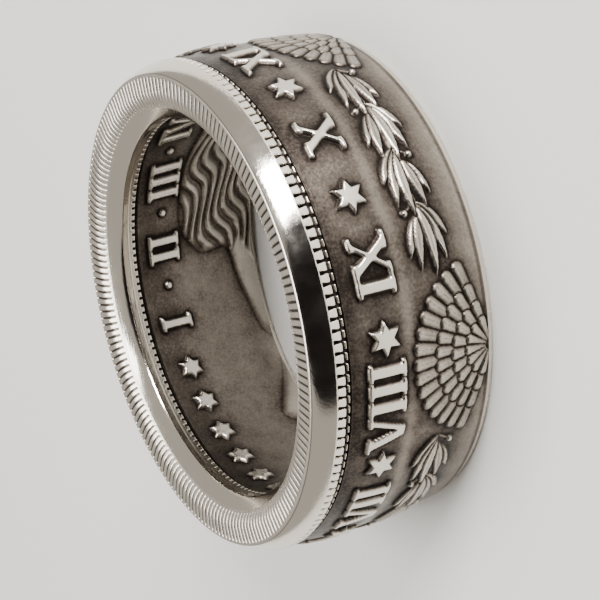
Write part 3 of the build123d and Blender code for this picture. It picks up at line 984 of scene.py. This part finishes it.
outer_foot_radius = float(outer_wall(edge_depth))
inner_foot_radius = float(inner_wall(edge_depth))
outer_flat_end = (outer_foot_radius - edge_round, band_width)
inner_flat_end = (inner_foot_radius + edge_round, band_width)
edge_section = np.concatenate([
    edge_bend(outer_foot_radius, 1), straight(outer_flat_end, inner_flat_end, edge_foot_steps),
    [inner_flat_end], edge_bend(inner_foot_radius, -1)[::-1], [(core_radius, edge_depth - 0.02)],
])
add_turned_piece("cut_edge", edge_section, edge_columns, np.full(len(edge_section), edge_tarnish),
                 [0, -2, -1], reed_silver)


# The table, the light and the camera. The ring rests on a pale table by a window, with the room
# dark behind the camera, which looks down at it and is rolled so that the reeded face is at the left.
table_reach = 1.5
table = bpy.data.objects.new("table", bpy.data.meshes.new("table"))
corners = [(-table_reach, -table_reach, 0), (table_reach, -table_reach, 0), (table_reach, table_reach, 0),
           (-table_reach, table_reach, 0)]
table.data.from_pydata(corners, [], [(0, 1, 2, 3)])
bpy.context.scene.collection.objects.link(table)
table_paint = bpy.data.materials.new("table_paint")
table_paint.use_nodes = True
table_shader = table_paint.node_tree.nodes["Principled BSDF"]
table_shader.inputs["Base Color"].default_value = (0.72, 0.71, 0.69, 1.0)
table_shader.inputs["Roughness"].default_value = 0.65
table.data.materials.append(table_paint)


def direction(azimuth, elevation):
    """Unit vector towards an azimuth and elevation in degrees."""
    turn, lift = math.radians(azimuth), math.radians(elevation)
    return Vector((math.cos(lift) * math.cos(turn), math.cos(lift) * math.sin(turn), math.sin(lift)))


def soft_light(name, azimuth, elevation, distance, size, power, colour):
    """Rectangular soft light that faces the ring from a direction."""
    light = bpy.data.lights.new(name, "AREA")
    light.shape = "RECTANGLE"
    light.size, light.size_y = size
    light.energy = power
    light.color = colour
    lamp = bpy.data.objects.new(name, light)
    place = direction(azimuth, elevation) * distance
    aim = Vector((0, 0, 0.005))
    lamp.matrix_world = Matrix.Translation(place + aim) @ place.to_track_quat("Z", "Y").to_matrix().to_4x4()
    bpy.context.scene.collection.objects.link(lamp)


soft_light("window", azimuth=-48, elevation=18, distance=0.5, size=(0.2, 0.3), power=6.5,
           colour=(1.0, 0.99, 0.97))
soft_light("ceiling", azimuth=60, elevation=80, distance=0.6, size=(0.45, 0.45), power=5.5,
           colour=(1.0, 0.985, 0.96))

# The walls of the room are bright all round but for the dark side behind the camera.
dark_turn = math.radians(-103)
dark_rise = 0.25
bright_wall = (0.50, 0.47, 0.43, 1.0)
dark_wall = (0.012, 0.010, 0.010, 1.0)
world = bpy.data.worlds.new("room")
world.use_nodes = True
wall_nodes, wall_links = world.node_tree.nodes, world.node_tree.links
sky_place = wall_nodes.new("ShaderNodeTexCoord")
dark_side = wall_nodes.new("ShaderNodeVectorMath")
dark_side.operation = "DOT_PRODUCT"
dark_side.inputs[1].default_value = (math.cos(dark_turn), math.sin(dark_turn), dark_rise)
wall_links.new(sky_place.outputs["Generated"], dark_side.inputs[0])
wall_tone = wall_nodes.new("ShaderNodeValToRGB")
for element, position, colour in zip(wall_tone.color_ramp.elements, (0.72, 0.80), (bright_wall, dark_wall)):
    element.position = position
    element.color = colour
wall_links.new(dark_side.outputs["Value"], wall_tone.inputs["Fac"])
wall_links.new(wall_tone.outputs["Color"], wall_nodes["Background"].inputs["Color"])
wall_nodes["Background"].inputs["Strength"].default_value = 1.0
bpy.context.scene.world = world

camera_distance = 98.656
camera_height_angle = 29.267
camera_turn = 0.56
camera_tilt = 62.71
camera_roll = -104.40
view_width_px = 600
focal_length_px = 1700
lens = bpy.data.cameras.new("camera")
lens.sensor_width = 36.0
lens.lens = lens.sensor_width * focal_length_px / view_width_px
lens.clip_start = 0.001
camera = bpy.data.objects.new("camera", lens)
stand = direction(-90, camera_height_angle) * camera_distance * MM
camera.matrix_world = (Matrix.Translation(stand) @ Matrix.Rotation(math.radians(camera_turn), 4, "Z")
                       @ Matrix.Rotation(math.radians(camera_tilt), 4, "X")
                       @ Matrix.Rotation(math.radians(camera_roll), 4, "Z"))
bpy.context.scene.collection.objects.link(camera)
bpy.context.scene.camera = camera
